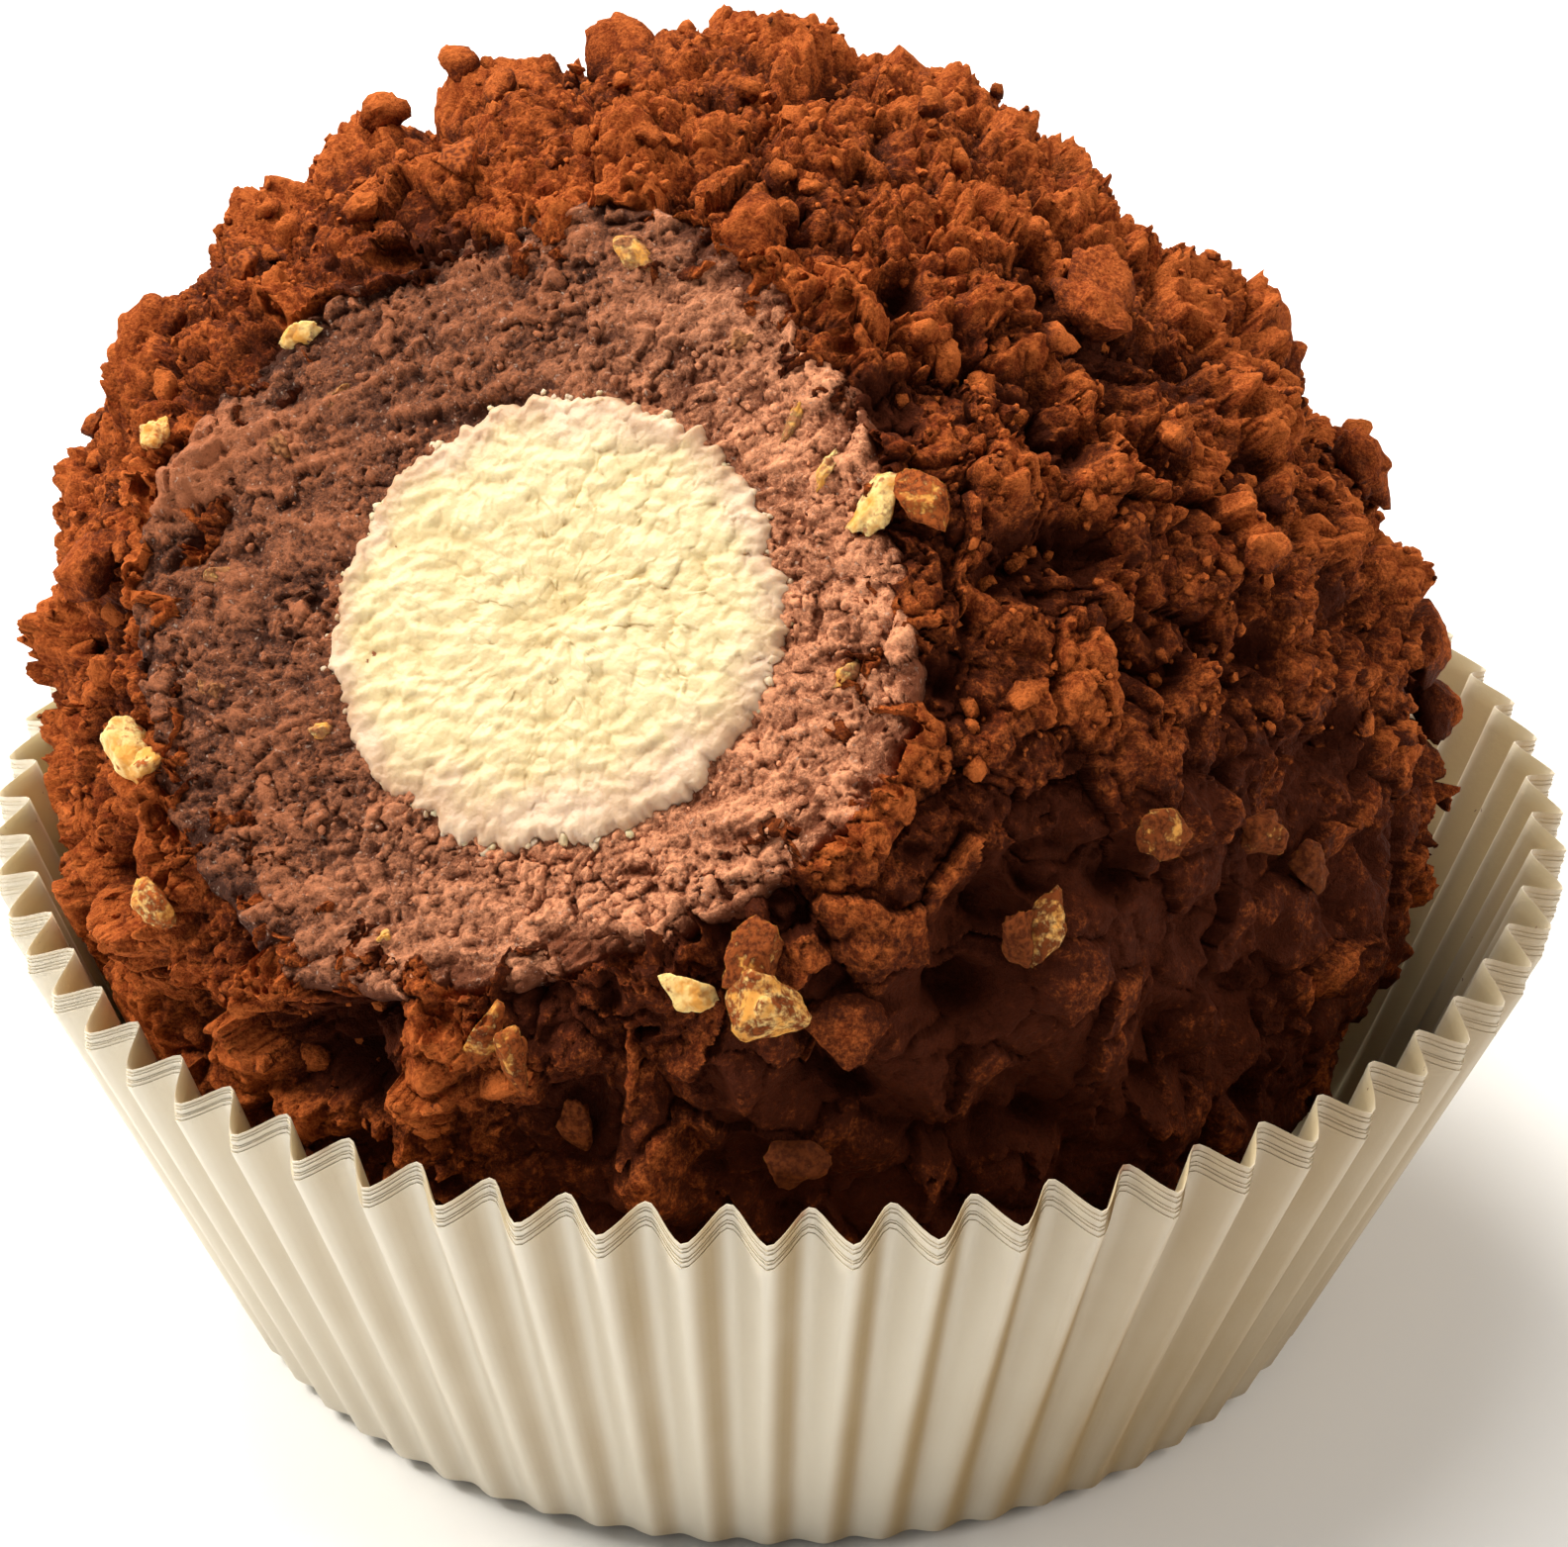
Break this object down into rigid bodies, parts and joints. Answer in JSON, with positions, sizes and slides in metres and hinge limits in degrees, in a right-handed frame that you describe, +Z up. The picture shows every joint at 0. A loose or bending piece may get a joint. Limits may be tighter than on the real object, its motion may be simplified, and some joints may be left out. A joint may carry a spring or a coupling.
{
  "type": "chocolate truffle",
  "caption": "Large round chocolate truffle with a craggy cocoa and nut coat, cut open to a pale cream core, in its pleated white paper case.",
  "frame": {"origin": "middle of the flat base of the paper cases, on the surface that they stand on", "axes": "+Z up; -Y is the side with the cut face, +X is to the right seen from there"},
  "size_m": [0.0686, 0.0686, 0.0554],
  "materials": {
    "cocoa_chocolate": "craggy chocolate coat dusted with cocoa, matte",
    "ganache": "mauve-brown chocolate filling, raked by the knife",
    "hazelnut": "chopped roasted hazelnut",
    "cream": "pale yellow set cream, ridged where it was cut",
    "case_paper": "thin cream-white greaseproof paper, pleated"
  },
  "bodies": {
    "root": {"chocolate_body": "cocoa_chocolate", "cream_core": "cream", "paper_case_outer": "case_paper", "paper_case_inner": "case_paper"}
  },
  "joints": []
}
